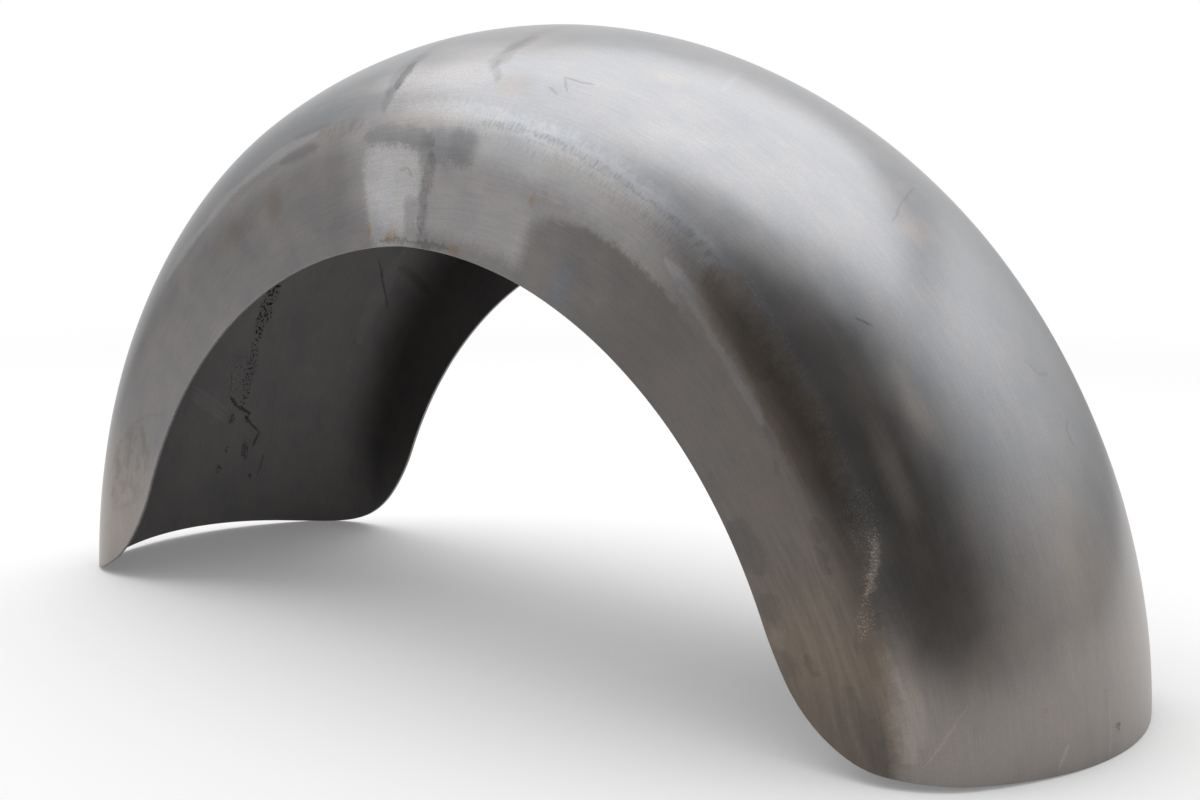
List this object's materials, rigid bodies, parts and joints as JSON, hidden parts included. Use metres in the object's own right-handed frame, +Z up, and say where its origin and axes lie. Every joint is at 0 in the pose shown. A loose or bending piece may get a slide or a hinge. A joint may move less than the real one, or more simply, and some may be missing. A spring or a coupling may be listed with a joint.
{
  "type": "motorcycle rear fender",
  "caption": "Half-round bare steel rear fender blank for a wide tyre: domed crown, rounded shoulders, flat side walls arched over the wheel, rounded lower corners.",
  "frame": {"origin": "middle of the fender's box, on the floor that its two ends stand on", "axes": "+X along the fender, +Y across it, +Z up"},
  "size_m": [0.7234, 0.229, 0.35],
  "materials": {
    "raw_steel": "bare, sanded along the welds"
  },
  "bodies": {
    "root": {"fender": "raw_steel"}
  },
  "joints": []
}
